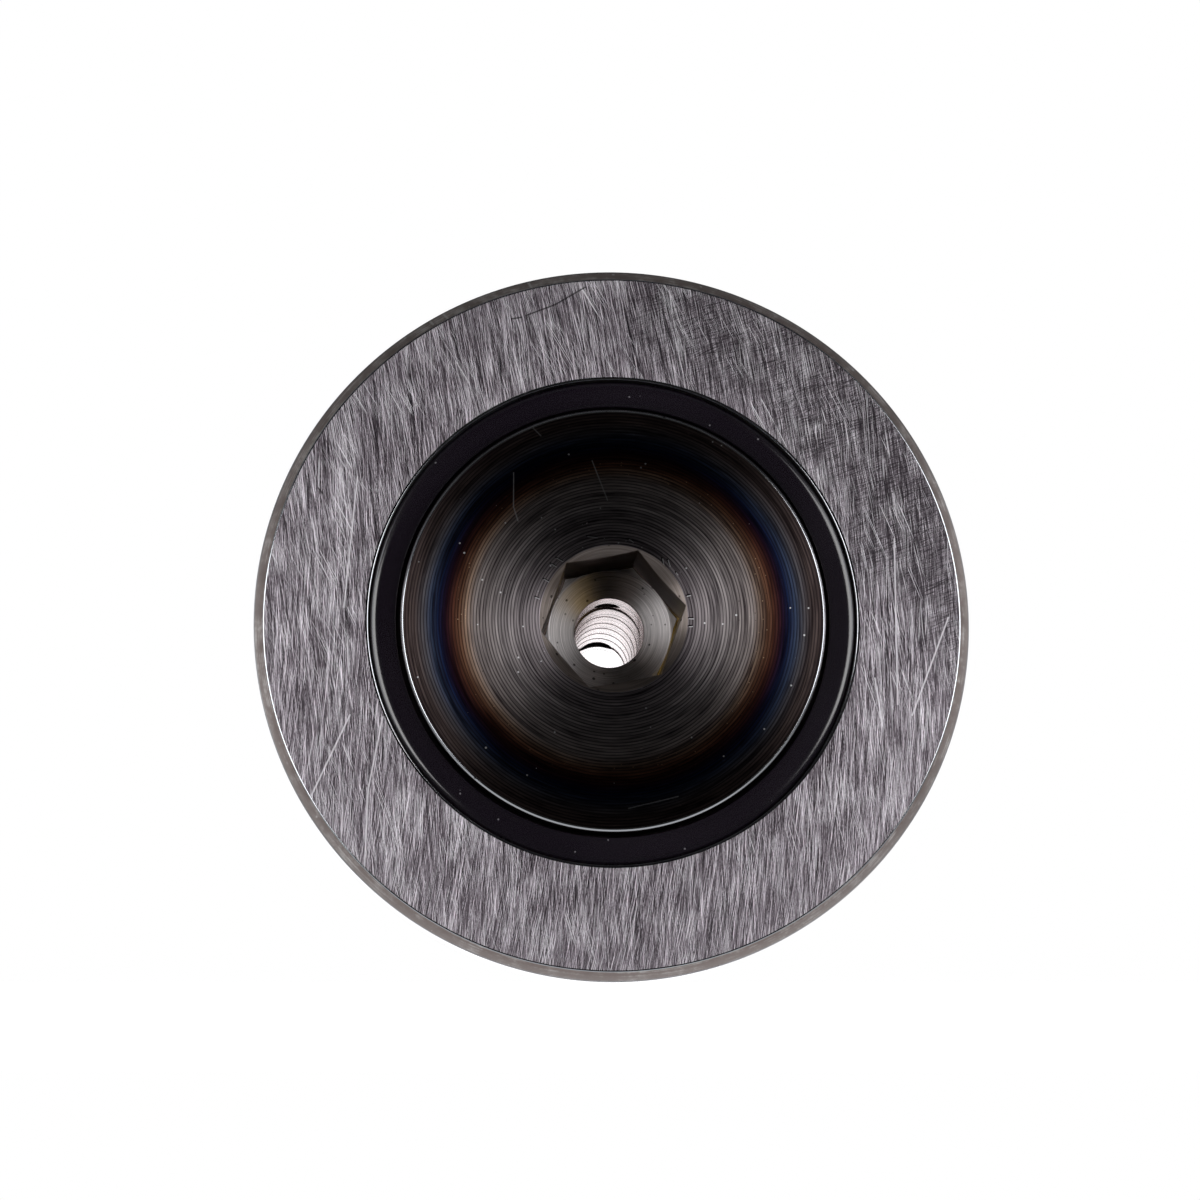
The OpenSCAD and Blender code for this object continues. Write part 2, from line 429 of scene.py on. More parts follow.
print("groups:", [tree.name for tree in bpy.data.node_groups])


# %% [markdown]
# ## Steel
# What changes from finish to finish is the colour that the surface reflects, how rough it is, and
# which way its lines run. Lines spread a reflection across themselves, which a Principled shader
# gives with its Anisotropic value along the direction in Tangent. That direction is turned from the
# piece's own space to the world's, so it stays right when the ring turns.
# %% A metal with lines
def start_material(name):
    """The wires of a new material, which also know the position in the piece's own space."""
    material = bpy.data.materials.new(name)
    material.use_nodes = True
    material.node_tree.nodes.clear()
    wires = Wires(material.node_tree)
    wires.material = material
    wires.position = wires.node("ShaderNodeTexCoord").outputs["Object"]
    return wires


def finish_material(wires, colour, roughness, normal=None, spread=None, anisotropy=0.0,
                    metallic=1.0, **uniform):
    """Ends a material in one Principled shader. spread is the direction across the lines."""
    inputs = {"Base Color": colour, "Roughness": roughness, "Metallic": metallic,
              "Anisotropic": anisotropy, **uniform}
    if normal is not None:
        inputs["Normal"] = normal
    if spread is not None:
        inputs["Tangent"] = wires.node("ShaderNodeVectorTransform", {0: spread},
                                       vector_type="VECTOR", convert_from="OBJECT",
                                       convert_to="WORLD").outputs[0]
    shader = wires.node("ShaderNodeBsdfPrincipled", inputs)
    wires.node("ShaderNodeOutputMaterial", {"Surface": shader.outputs[0]})
    return wires.material


def fine_lines(w, across, spacing, length, seed, detail=2.0):
    """Tool lines, with their spacing and length in millimetres."""
    return placed(w, tool_lines, Across=across, Position=w.position, Spacing=spacing * MM,
                  Length=length * MM, Seed=seed, Detail=detail)[0]


def dots(w, spacing, share, position=None):
    """Specks, with their spacing in millimetres."""
    return placed(w, specks, Position=position or w.position, Spacing=spacing * MM,
                  Share=share)[0]


def outward(w):
    """The direction away from the axis."""
    x, _, z = w.split(w.position)
    return w.vector("NORMALIZE", w.join(x, 0.0, z))


# %% [markdown]
# ** The side of the outer ring** is ground, then rubbed in a box of other rings. Three sets
# of arcs cross at small angles: the ridges of each shine, the grooves are dark, and between them
# the steel is an even grey. A patch at the upper right was rubbed across too, and a few long
# scratches run over all of it. The longest are listed one by one.
# The cross marks and the rubbed patch are also darkened in the colour: painted shade.
# %% Ground side face
side_scratches = (
    (-25.3, -10.9, -26.8, -18.8), (-26.8, -18.8, -27.1, -27.3), (-28.9, -10.7, -33.1, -19.8),
    (31.3, 9.2, 31.4, -9.3), (37.2, 0.4, 33.0, -10.5), (28.9, -6.4, 29.7, -11.7),
    (-28.4, 15.8, -29.7, 1.2))
side_cuts = ((-9.8, 34.3, -6.5, 35.6), (-6.5, 35.6, -3.2, 37.6), (-32.7, 14.5, -32.2, 13.9),
             (-10.3, 34.1, -11.4, 33.9))
upper_right = (0.76, 0.0, 0.65)


def ground_face():
    w = start_material("ground_side_face")

    def grain_set(lean, bow, spacing, length, seed):
        """One set of arcs: its lean in degrees, then spacing and length in millimetres."""
        across = placed(w, arcs, Position=w.position, Lean=math.radians(lean), Bow=bow)[0]
        return fine_lines(w, across, spacing, length, seed, 0.6)

    bright, dark = 0.0, 0.0
    for values in ((3, 2.2, 0.075, 4.0, 0.0), (9, 1.5, 0.07, 3.2, 31.0),
                   (-3, 2.5, 0.08, 4.6, 57.0)):
        lines = grain_set(*values)
        bright = w.most(bright, w.stretch(lines, 0.62, 1.0))
        dark = w.most(dark, w.stretch(lines, 0.4, 0.02))
    silk = w.times(w.minus(bright, dark), 0.5)
    broad = grain_set(-2, 1.5, 0.5, 16.0, 23.0)
    grain = w.plus(silk, w.scaled(broad, 0.04, 0.48))
    level = w.maths("MINIMUM", grain_set(-78, 1.0, 0.09, 2.6, 11.0),
                    grain_set(-67, 1.0, 0.09, 2.0, 83.0))
    corner = w.vector("DOT_PRODUCT", w.position, upper_right)
    ragged = w.scaled(w.noise(w.position, scale=90.0), 20 * MM, -10 * MM)
    rubbed_patch_and_shade = w.stretch(w.plus(corner, ragged), 22 * MM, 30 * MM)
    # The cross marks are real scratches in the bump and painted shade in the colour.
    cross_marks_and_shade = w.times(w.stretch(level, 0.42, 0.24), rubbed_patch_and_shade)
    marks = w.times(hand_marks(w, side_scratches, 0.12), 0.8)
    for lean, bow, spacing, length, amount, seed in (
            (4, 2.2, 0.075, 9, 0.12, 3.0), (12, 1.5, 0.075, 8, 0.08, 19.0),
            (-4, 2.5, 0.075, 8, 0.1, 41.0), (24, 2.0, 0.09, 12, 0.004, 67.0)):
        more = placed(w, scratches, Position=w.position, Lean=math.radians(lean), Bow=bow,
                      Spacing=spacing * MM, Length=length * MM, Amount=amount, Seed=seed)[0]
        marks = w.most(marks, more)
    cuts = hand_marks(w, side_cuts, 0.13)
    shade = w.ramp(grain, (0.0, (0.012, 0.01, 0.012)), (0.28, (0.05, 0.041, 0.048)),
                   (0.48, (0.112, 0.094, 0.109)), (0.68, (0.27, 0.235, 0.27)),
                   (1.0, (0.9, 0.85, 0.91)))
    # Painted shade: the cross marks and the whole rubbed patch are darkened.
    shade = w.coat(shade, cross_marks_and_shade, 0.85, (0.02, 0.017, 0.02))
    shade = w.coat(shade, rubbed_patch_and_shade, 0.2, (0.05, 0.042, 0.048))
    shade = w.coat(shade, marks, 0.75, (0.88, 0.86, 0.9))
    shade = w.coat(shade, cuts, 0.8, (0.02, 0.018, 0.02))
    radius = placed(w, from_axis, Position=w.position)["Radius"]
    # Painted light: the face is made brighter towards its outer rim and its bottom.
    painted_low_rim_light = w.times(w.stretch(radius, 29 * MM, 38 * MM),
                      w.stretch(w.split(w.position)[2], 22 * MM, -36 * MM))
    shade = w.mix(painted_low_rim_light, shade, rgb(0.045, 0.04, 0.045), "ADD")
    roughness = w.stretch(grain, 0.0, 1.0, 0.5, 0.4)
    relief = w.minus(grain, w.most(marks, cross_marks_and_shade))
    normal = w.bump(relief, 0.01, 0.4)
    return finish_material(w, shade, roughness, normal, w.join(1.0, 0.0, 0.0), 0.85)


# %% [markdown]
# **The tread** is ground between centres: its lines run round the ring, finer than on the side.
# A few spots and faint stains from storage break up the shine.
# %% Ground tread
def ground_tread():
    w = start_material("ground_tread")
    along = placed(w, from_axis, Position=w.position)["Along"]
    lines = fine_lines(w, along, 0.09, 16, 5.0, 3.0)
    broad = fine_lines(w, along, 1.1, 60, 9.0)
    spots = dots(w, 2.2, 0.12)
    tone = w.scaled(broad, 0.4, w.times(lines, 0.6))
    colour = w.mix(tone, rgb(0.4, 0.385, 0.39), rgb(0.63, 0.62, 0.63))
    colour = w.coat(colour, spots, 0.6, (0.2, 0.17, 0.15))
    stain = w.noise(w.position, scale=60.0, detail=3.0)
    roughness = w.stretch(stain, 0.3, 0.7, 0.24, 0.34)
    normal = w.bump(w.minus(lines, spots), 0.006, 0.6)
    return finish_material(w, colour, roughness, normal, w.join(0.0, 1.0, 0.0), 0.7)


# %% [markdown]
# **The chamfer** of the ring was turned before hardening and never ground, so it keeps the brown
# skin from the furnace, worn to metal in places.
# Towards the tread the chamfer is painted lighter, a painted sheen.
# %% Chamfer with furnace skin
rim_notches = ((-20.8, 34.1, -20.2, 33.3), (-19.2, 34.8, -18.6, 34.0), (-9.6, 38.5, -9.2, 37.6))


def scaled_chamfer():
    w = start_material("scaled_chamfer")
    radius = placed(w, from_axis, Position=w.position)["Radius"]
    lines = fine_lines(w, radius, 0.12, 12, 2.0)
    mottle = w.noise(w.position, scale=500.0, detail=4.0, roughness=0.65)
    worn = w.stretch(w.scaled(lines, 0.4, mottle), 0.72, 0.95)
    nicks = dots(w, 0.9, 0.1)
    bright = w.most(w.most(worn, nicks), hand_marks(w, rim_notches, 0.2))
    colour = w.mix(mottle, rgb(0.22, 0.17, 0.155), rgb(0.5, 0.43, 0.41))
    # Painted sheen: the colour gets lighter towards the tread.
    outside = w.stretch(radius, (ring_r - 1.3) * MM, (ring_r - 0.3) * MM, 0.0, 0.4)
    colour = w.mix(outside, colour, rgb(0.62, 0.57, 0.56))
    colour = w.coat(colour, bright, 0.7, (0.85, 0.83, 0.82))
    roughness = w.stretch(mottle, 0.3, 0.7, 0.36, 0.52)
    normal = w.bump(w.plus(lines, mottle), 0.01, 0.6)
    return finish_material(w, colour, roughness, normal, metallic=0.9)


# %% [markdown]
# **The shields** are pressed from sheet and blackened. The black is nearly plain: a soft sheen on
# the bend, faint rings from the press, and a few specks of dust.
# %% Blackened sheet
def blackened_sheet():
    w = start_material("blackened_sheet")
    radius = placed(w, from_axis, Position=w.position)["Radius"]
    rings = fine_lines(w, radius, 0.25, 30, 4.0)
    dust = dots(w, 0.6, 0.03)
    cloud = w.noise(w.position, scale=60.0, detail=1.0)
    colour = w.mix(cloud, rgb(0.0045, 0.003, 0.0055), rgb(0.0075, 0.005, 0.009))
    colour = w.coat(colour, dust, 0.4, (0.3, 0.29, 0.31))
    roughness = w.scaled(rings, 0.03, w.stretch(cloud, 0.3, 0.7, 0.13, 0.18))
    normal = w.bump(w.plus(rings, cloud), 0.0015, 0.5)
    return finish_material(w, colour, roughness, normal, metallic=0.0,
                           **{"IOR": 2.0, "Specular IOR Level": 0.5})


# %% [markdown]
# ** The head** was turned with a pointed tool, one groove every third of a millimetre, and then
# its raceway was hardened by induction. The heat ran inwards from the rim and left the colours of
# tempered steel as rings: straw, brown, purple, blue and pale grey, which wander a little. The
# colour is a ramp along the radius, moved to and fro by slow noise. The broach that cut the
# hexagon pushed up small burrs round its mouth; each gets a painted highlight along its edge and
# a painted shadow at its foot.
# %% Heat colours and turned grooves
heat_stops = (
    (7.0, (0.25, 0.22, 0.235)), (12.5, (0.26, 0.235, 0.235)), (15.4, (0.26, 0.225, 0.215)),
    (16.3, (0.22, 0.15, 0.11)), (17.0, (0.14, 0.068, 0.04)), (17.7, (0.06, 0.022, 0.014)),
    (18.5, (0.018, 0.006, 0.012)), (19.3, (0.007, 0.012, 0.04)), (20.2, (0.03, 0.042, 0.075)),
    (21.0, (0.07, 0.067, 0.076)), (22.0, (0.08, 0.06, 0.056)), (23.5, (0.072, 0.052, 0.05)))
head_strokes = ((-11.1, 16.2, -11.1, 12.4), (-11.1, 12.4, -10.6, 10.8), (-9.3, 21.6, -8.1, 20.4),
                (-2.4, 17.6, -0.7, 13.2), (1.6, -20.9, 7.0, -19.6))
mouth_burrs = (
    (5.3, 6.75, 5.45, 6.1), (5.9, 6.6, 6.15, 5.95), (6.8, 5.2, 7.0, 5.0), (8.0, 2.6, 8.4, 2.7),
    (8.2, 0.1, 8.7, 0.1), (8.2, -0.8, 8.6, -0.75), (-7.8, 4.4, -7.2, 4.1), (-6.4, 6.75, -5.7, 6.4),
    (-7.0, 6.1, -6.4, 5.8), (-3.0, 9.2, -1.9, 9.1), (1.6, 8.9, 2.1, 8.6), (-8.3, 2.2, -8.7, 2.4))


def heat_colour(w, radius, wander):
    """The temper colour at a radius, moved by slow noise of the given reach in metres."""
    drift = w.scaled(w.noise(w.position, scale=110.0, detail=2.0), 2.0, -1.0)
    moved = w.scaled(drift, wander, radius)
    low, high = heat_stops[0][0], heat_stops[-1][0]
    factor = w.stretch(moved, low * MM, high * MM)
    return w.ramp(factor, *[((place - low) / (high - low), tone) for place, tone in heat_stops])


def turned_head():
    w = start_material("turned_head")
    radius = placed(w, from_axis, Position=w.position)["Radius"]
    groove_pitch = 0.34 * MM
    phase = w.times(radius, 2 * math.pi / groove_pitch)
    groove = w.scaled(w.maths("COSINE", phase), 0.5, 0.5)
    tears = fine_lines(w, radius, 0.3, 4, 1.0, 3.0)
    broad = fine_lines(w, radius, 1.2, 30, 6.0)
    pits = dots(w, 0.6, 0.1)
    dust = dots(w, 0.5, 0.035, w.vector("ADD", w.position, (0.3, 0.1, 0.2)))
    strokes = w.times(hand_marks(w, head_strokes, 0.09), 0.5)
    straw = w.times(w.stretch(radius, 15.6 * MM, 16.4 * MM), w.stretch(radius, 17.8 * MM, 17.2 * MM))
    flecks = w.times(dots(w, 0.4, 0.25), straw)
    near_mouth = w.stretch(radius, (mouth_r + 1.3) * MM, (mouth_r + 0.2) * MM)
    ragged = w.stretch(w.noise(w.position, scale=260.0), 0.46, 0.56)
    crumbs = w.times(dots(w, 0.6, 0.35), w.times(near_mouth, ragged))
    # Painted highlight: a bright line beside each burr, where its edge would catch the light.
    painted_burr_glints = [(ax + 0.11, az - 0.11, bx + 0.08, bz - 0.13) for ax, az, bx, bz in mouth_burrs]
    crumbs_and_burr_glints = w.most(crumbs, w.times(hand_marks(w, painted_burr_glints, 0.07), 0.7))
    # Painted shadow at the foot of each burr.
    shadows = hand_marks(w, mouth_burrs, 0.11)
    colour = heat_colour(w, radius, 0.35 * MM)
    tone = w.scaled(tears, 0.5, w.times(broad, 0.5))
    shiny = w.mix(1.0, colour, rgb(1.5, 1.5, 1.5), "MULTIPLY")
    dull = w.mix(1.0, colour, rgb(0.22, 0.2, 0.22), "MULTIPLY")
    colour = w.mix(w.stretch(tone, 0.2, 0.8, 1.0, 0.0), shiny, dull)
    colour = w.mix(w.stretch(groove, 0.0, 0.55, 0.7, 0.0), colour, rgb(0.008, 0.006, 0.008))
    colour = w.coat(colour, pits, 0.7, (0.02, 0.018, 0.018))
    colour = w.coat(colour, flecks, 0.6, (0.6, 0.4, 0.25))
    colour = w.mix(shadows, colour, rgb(0.01, 0.008, 0.008))
    bright = w.most(w.most(dust, strokes), crumbs_and_burr_glints)
    colour = w.coat(colour, bright, 0.8, (0.8, 0.8, 0.82))
    roughness = w.stretch(tears, 0.0, 1.0, 0.36, 0.46)
    relief = w.minus(w.scaled(groove, 0.6, w.times(tears, 0.8)), pits)
    normal = w.bump(relief, 0.015, 0.6)
    return finish_material(w, colour, roughness, normal, outward(w), 0.85)


# %% [markdown]
# **Turned and broached steel** covers what is left of the stud and the flange ring. One recipe
# with a few values serves them all: the colour in and out of the lines, how far apart the lines
# are, and whether they are counted along the radius or along the axis.
# %% Plain turned steel
def turned_steel(name, dark, light, spacing, length, roughness, by_radius=False, depth=0.01,
                 anisotropy=0.6, speck_share=0.08, speck_spacing=0.8, tint=None):
    """Steel with lines round the axis. Spacing, length and depth are in millimetres.

    A tint colours the side towards +X alone, where straw from the heat is left in the socket.
    """
    w = start_material(name)
    radius, along = placed(w, from_axis, Position=w.position)
    across = radius if by_radius else along
    lines = fine_lines(w, across, spacing, length, 7.0, 3.0)
    cloud = w.noise(w.position, scale=160.0, detail=4.0, roughness=0.6)
    spots = dots(w, speck_spacing, speck_share)
    colour = w.mix(w.scaled(lines, 0.6, w.times(cloud, 0.4)), rgb(*dark), rgb(*light))
    colour = w.coat(colour, spots, 0.8, (0.02, 0.016, 0.014))
    if tint is not None:
        x, _, z = w.split(w.position)
        one_side = w.times(w.stretch(x, 3.5 * MM, 6.5 * MM), w.stretch(z, 3 * MM, -1 * MM))
        colour = w.coat(colour, one_side, 0.8, tint)
    rough = w.stretch(cloud, 0.3, 0.7, roughness - 0.05, roughness + 0.07)
    normal = w.bump(w.minus(lines, spots), depth, 0.6)
    spread = outward(w) if by_radius else w.join(0.0, 1.0, 0.0)
    return finish_material(w, colour, rough, normal, spread, anisotropy)


# %% [markdown]
# ** The bore** was drilled from both ends. Its wall is bright. Rings where the drill stopped and
# started, a few millimetres apart and a little askew, are cut in the bump and darkened in the
# colour as painted shade. The colour is painted lighter deeper in, a painted light from the open
# far end, so it is darker and browner near the socket.
# %% Drilled bore
def drilled_bore():
    w = start_material("drilled_bore")
    x, along, z = w.split(w.position)
    askew = w.scaled(x, 0.25, w.scaled(z, -0.2, along))
    rings = fine_lines(w, askew, 1.4, 60, 3.0, 3.0)
    fine = fine_lines(w, askew, 0.5, 10, 13.0)
    # Painted shade: dark rings where the drill stopped and started.
    painted_shade_rings = w.stretch(rings, 0.46, 0.26)
    spots = dots(w, 1.3, 0.08)
    # Painted light: the wall gets lighter deeper in, towards the open far end.
    painted_light_deeper_in = w.stretch(along, -24 * MM, 10 * MM)
    colour = w.mix(painted_light_deeper_in, rgb(0.42, 0.34, 0.33), rgb(0.76, 0.68, 0.67))
    colour = w.mix(w.stretch(fine, 0.3, 0.7, 0.25, 0.0), colour, rgb(0.5, 0.42, 0.42))
    colour = w.coat(colour, w.most(painted_shade_rings, spots), 0.85, (0.07, 0.05, 0.05))
    normal = w.bump(w.plus(rings, fine), 0.01, 0.4)
    return finish_material(w, colour, 0.2, normal, metallic=0.95)


# %% [markdown]
# ## The finishes of the roller
# Each finish gets a short name here, and the sections below give that name to the surfaces between
# their corners. One material serves every surface that was made in the same way.
# %% All finishes
finish = {
    "side": ground_face(),
    "tread": ground_tread(),
    "chamfer": scaled_chamfer(),
    "sheet": blackened_sheet(),
    "head": turned_head(),
    "edge": turned_steel("bright_edge", (0.55, 0.57, 0.61), (0.85, 0.87, 0.9), 0.1, 6, 0.13,
                         depth=0.003, anisotropy=0.0, speck_share=0.1),
    "seat": turned_steel("turned_seat", (0.3, 0.28, 0.28), (0.5, 0.48, 0.49), 0.1, 20, 0.3),
    "mouth": turned_steel("countersunk_mouth", (0.08, 0.062, 0.055), (0.58, 0.5, 0.46), 0.16, 10,
                          0.34, by_radius=True, speck_share=0.6, speck_spacing=0.9),
    "flats": turned_steel("broached_flats", (0.05, 0.038, 0.034), (0.15, 0.115, 0.1), 0.3, 8,
                          0.34, tint=(0.5, 0.33, 0.07)),
    "floor": turned_steel("drilled_floor", (0.16, 0.145, 0.145), (0.98, 0.93, 0.93), 0.16, 6, 0.42,
                          by_radius=True, speck_share=0.6, speck_spacing=0.9),
    "bore": drilled_bore(),
    "shank": turned_steel("ground_shank", (0.46, 0.45, 0.46), (0.66, 0.65, 0.66), 0.06, 18, 0.22,
                          depth=0.004, anisotropy=0.7, speck_share=0.03),
    "thread": turned_steel("cut_thread", (0.2, 0.19, 0.19), (0.42, 0.41, 0.41), 0.05, 6, 0.3),
    "end": turned_steel("turned_end", (0.2, 0.19, 0.185), (0.42, 0.4, 0.39), 0.22, 12, 0.32,
                        by_radius=True),
    "flange": turned_steel("turned_flange", (0.2, 0.19, 0.19), (0.44, 0.42, 0.42), 0.2, 14, 0.3,
                           by_radius=True, anisotropy=0.8),
    # Painted shade: a near-black finish for the nose side and collar, seen in the gap under the shield.
    "heated": turned_steel("painted_gap_shade", (0.02, 0.016, 0.018), (0.08, 0.066, 0.066), 0.2, 14,
                           0.3),
    "roller": turned_steel("lapped_roller", (0.62, 0.62, 0.64), (0.78, 0.78, 0.8), 0.05, 10, 0.1,
                           depth=0.002, speck_share=0.0),
}
print("finishes:", len(finish))

# %% [markdown]
# ## The outer ring
# The tread is crowned with a radius of 500 mm, so it stands about 0.3 mm higher in the middle
# than at its edges. In section it is crown_r's circle, y^2 + (r - centre)^2 = crown_r^2, taken at a few
# places between the chamfers.
# %% Outer ring
def mirrored(corners):
    """The corners mirrored about the ring's middle and listed backwards.

    A finish belongs to the face from its corner to the next one, so it moves on by a corner.
    """
    marks = [corners[number - 1][3] for number in range(len(corners))]
    return [(r, 2 * ring_mid - y, t, mark)
            for (r, y, t, _), mark in zip(reversed(corners), reversed(marks))]


def outer_ring_corners():
    """The ring's section: raceway, front rib, seat and face, crowned tread, then the same back."""
    half_w = (ring_rear - ring_front) / 2
    along = np.linspace(-half_w + tread_chamfer, half_w - tread_chamfer, 9)
    crown = np.sqrt(crown_r ** 2 - along ** 2) + ring_r - crown_r
    face_r = crown[0] - tread_chamfer
    tread = [(r, ring_mid + y, 1.5, "tread") for r, y in zip(crown, along)]
    tread[0] = (*tread[0][:2], 0.12, "tread")
    tread[-1] = (*tread[-1][:2], 0.12, "chamfer")
    front = [
        (outer_race_r, race_front, 0.2, "roller"),
        (rib_r, race_front, 0.2, "seat"),
        (rib_r, shield_foot, 0.2, "seat"),
        (seat_r, shield_foot, 0.1, "seat"),
        (seat_r, ring_front + 2 * seat_round, 0.02, "edge"),
        (seat_r, ring_front, seat_round, "edge"),
        (seat_r + 2 * seat_round, ring_front, 0.02, "side"),
        (face_r, ring_front, 0.1, "edge"),
        (face_r + face_break, ring_front + face_break, 0.02, "chamfer"),
    ]
    return [(outer_race_r, flange_front, 0.2, "roller"), *front, *tread, *mirrored(front)[:-1]]


ring_angles = directions(288)
outer_ring = rounded_piece("ground_outer_ring", outer_ring_corners(), ring_angles)
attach(outer_ring, "outer_ring")
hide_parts("outer_ring")

# %% [markdown]
# ## The shields
# Each shield is an angle pressed from sheet. Its bend is round outside and inside, and it stands on
# the ring's rib. The rear one is the front one mirrored, so its section is listed backwards to
# keep its faces turned outwards.
# %% Shields
shield_corners = [
    (shield_bore_r, shield_face, 0.12, "sheet"),
    (seat_r, shield_face, bend_r, "sheet"),
    (seat_r, shield_foot, 0.1, "sheet"),
    (seat_r - sheet_t, shield_foot, 0.1, "sheet"),
    (seat_r - sheet_t, shield_face + sheet_t, bend_r - sheet_t, "sheet"),
    (shield_bore_r, shield_face + sheet_t, 0.12, "sheet"),
]
for name, node, corners in (("front_dark_shield", "front_shield", shield_corners),
                            ("rear_dark_shield", "rear_shield", mirrored(shield_corners))):
    shield = rounded_piece(name, corners, ring_angles, steps=8)
    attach(shield, "outer_ring")
    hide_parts(node)

# %% [markdown]
# ## The flange ring
# The flange ring is pressed on the stud behind the rollers. Its outside is the head's, mirrored,
# and its rear face is the one that the machine pulls against.
# %% Flange ring
flange_corners = [
    (flange_seat_r, flange_front, 0.15, "flange"),
    (collar_r, flange_front, 0.15, "flange"),
    (collar_r, -nose_l, 0.15, "flange"),
    (nose_r, -nose_l, 0.15, "flange"),
    (nose_r, -nose_chamfer, 0.06, "edge"),
    (nose_r - nose_chamfer, 0.0, 0.06, "flange"),
    (flange_seat_r + flange_break, 0.0, 0.06, "edge"),
    (flange_seat_r, -flange_break, 0.06, "flange"),
]
flange = rounded_piece("turned_flange_ring", flange_corners, directions(240))
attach(flange, "stud")
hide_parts("flange_ring")

# %% [markdown]
# ## The stud
# The stud is one piece from the hexagon socket to the end of its thread. In the direction a, a
# flat of the hexagon is (flats / 2) / cos(a') from the axis, where a' is the angle from the middle
# of that flat. The countersunk mouth is a cone, so it meets the flats lower in the corners.
# The bore was drilled from both ends and in several bites, each a little wider than the last and a
# little off the axis, so where two bites meet there is a narrow ledge. Each ledge takes the dark
# finish of the socket's flats as painted shade.
# %% Socket and bores
stud_columns = 192
stud_angles = directions(stud_columns, hex_turn)


def hexagon_radius(angles):
    """Distance from the axis to the hexagon: (flats / 2) / cos(angle from the flat's middle)."""
    from_corner = np.mod(angles - math.radians(hex_turn), math.pi / 3)
    return hex_flats / 2 / np.cos(from_corner - math.pi / 6)


def off_centre_radius(radius, shift, toward, angles):
    """A circle whose centre lies off the axis: e cos(a) + sqrt(radius^2 - (e sin(a))^2)."""
    a = angles - math.radians(toward)
    return shift * np.cos(a) + np.sqrt(radius ** 2 - (shift * np.sin(a)) ** 2)


hexagon = hexagon_radius(stud_angles)
socket_floor = head_face + hex_depth
drill_end = socket_floor + (pilot_r - nipple_r) / math.tan(math.radians(drill_point / 2))
rear_duct_r, rear_shift, rear_toward = duct_r - 0.25, 0.2, -40.0
front_duct_r, front_shift, front_toward, wider = duct_r - 0.12, 0.11, -50.0, 0.045
drill_stops = (9.8, 5.2, 0.4, -4.1, -9.7)
rear_duct = off_centre_radius(rear_duct_r, rear_shift, rear_toward, stud_angles)
duct_steps = [off_centre_radius(front_duct_r + wider * step, front_shift, front_toward, stud_angles)
              for step in range(len(drill_stops) + 1)]
drilled_steps = []
for step, stop in enumerate(drill_stops):
    # The ledge takes the dark finish of the flats: painted shade.
    drilled_steps.append((duct_steps[step], stop, 0.02, "flats"))
    drilled_steps.append((duct_steps[step + 1], stop, 0.02, "bore"))
print("ledges in the bore:", len(drill_stops))

# %% [markdown]
# A thread is a groove along a helix. If each row of the grid follows the helix, its edges stay
# crisp with few rows: row u lies at y = start + u - pitch angle / 2 pi, held between the ends of
# the thread. After one turn a row meets the row one pitch further back, which is how the seam is
# joined. The radius is the thread's profile at that point of the pitch, and it fades to the crest
# where the tool ran out, and to a cone at the chamfered end.
# %% Thread rows
def thread_rows(start, end):
    """Rows of (radius, place) that follow a right-handed helix, and the rows met over the seam."""
    crest_round, root_round, runout = 0.03, 0.06, 1.3
    steps = np.array([0.0, 0.02, 0.105, 0.125, 0.46, 0.50, 0.62, 0.665])
    heights = np.array([-crest_round, 0.0, 0.0, -crest_round, root_round - thread_depth,
                        -thread_depth, -thread_depth, root_round - thread_depth])
    turns = math.ceil((end - start) / thread_pitch) + 1
    u = (np.arange(turns)[:, None] + steps).ravel() * thread_pitch
    turn = np.arange(stud_columns) / stud_columns
    place = np.clip(start + u[:, None] - thread_pitch * turn, start, end)
    phase = np.mod((place - start) / thread_pitch + turn, 1.0)
    depth = np.interp(phase, steps, heights, period=1.0)
    fade = np.clip((place - start) / (runout * thread_pitch), 0, 1)
    fade = fade * fade * (3 - 2 * fade)
    cone = crest_r - thread_chamfer + (end - place)
    radius = np.minimum(crest_r + depth * fade, cone)
    met = np.maximum(np.arange(len(u)) - len(steps), 0)
    return np.stack([radius, place], -1), met


thread_start = shank_l + crest_r - shank_r + shank_chamfer
threads, threads_met = thread_rows(thread_start, stud_end)
print("thread rows:", len(threads))

# %% [markdown]
# The section of the stud starts at the socket's mouth, goes over the head and along the shank to
# the thread, and comes back through the bore. The thread's rows then take the place of the two
# rows that the rounded section has between its ends.
# %% Stud
before_thread = [
    (mouth_r, head_face, 0.06, "head"),
    (nose_r - nose_chamfer, head_face, 0.06, "edge"),
    # The nose side, its shoulder and the collar take the painted shade of the gap.
    (nose_r, head_face + nose_chamfer, 0.06, "heated"),
    (nose_r, head_face + nose_l, 0.15, "heated"),
    (collar_r, head_face + nose_l, 0.15, "heated"),
    (collar_r, race_front, 0.15, "flange"),
    (race_r, race_front, 0.2, "roller"),
    (race_r, flange_front, 0.1, "shank"),
    (flange_seat_r, flange_front, 0.1, "shank"),
    (flange_seat_r, groove_y, 0.1, "end"),
    (shank_r, groove_y, 0.1, "shank"),
    (shank_r, shank_l - shank_chamfer, 0.1, "end"),
    (shank_r - shank_chamfer, shank_l, 0.1, "thread"),
]
thread_ends = [
    (crest_r - 0.02, thread_start, 0.05, "thread"),
    (crest_r - thread_chamfer, stud_end, 0.08, "end"),
]
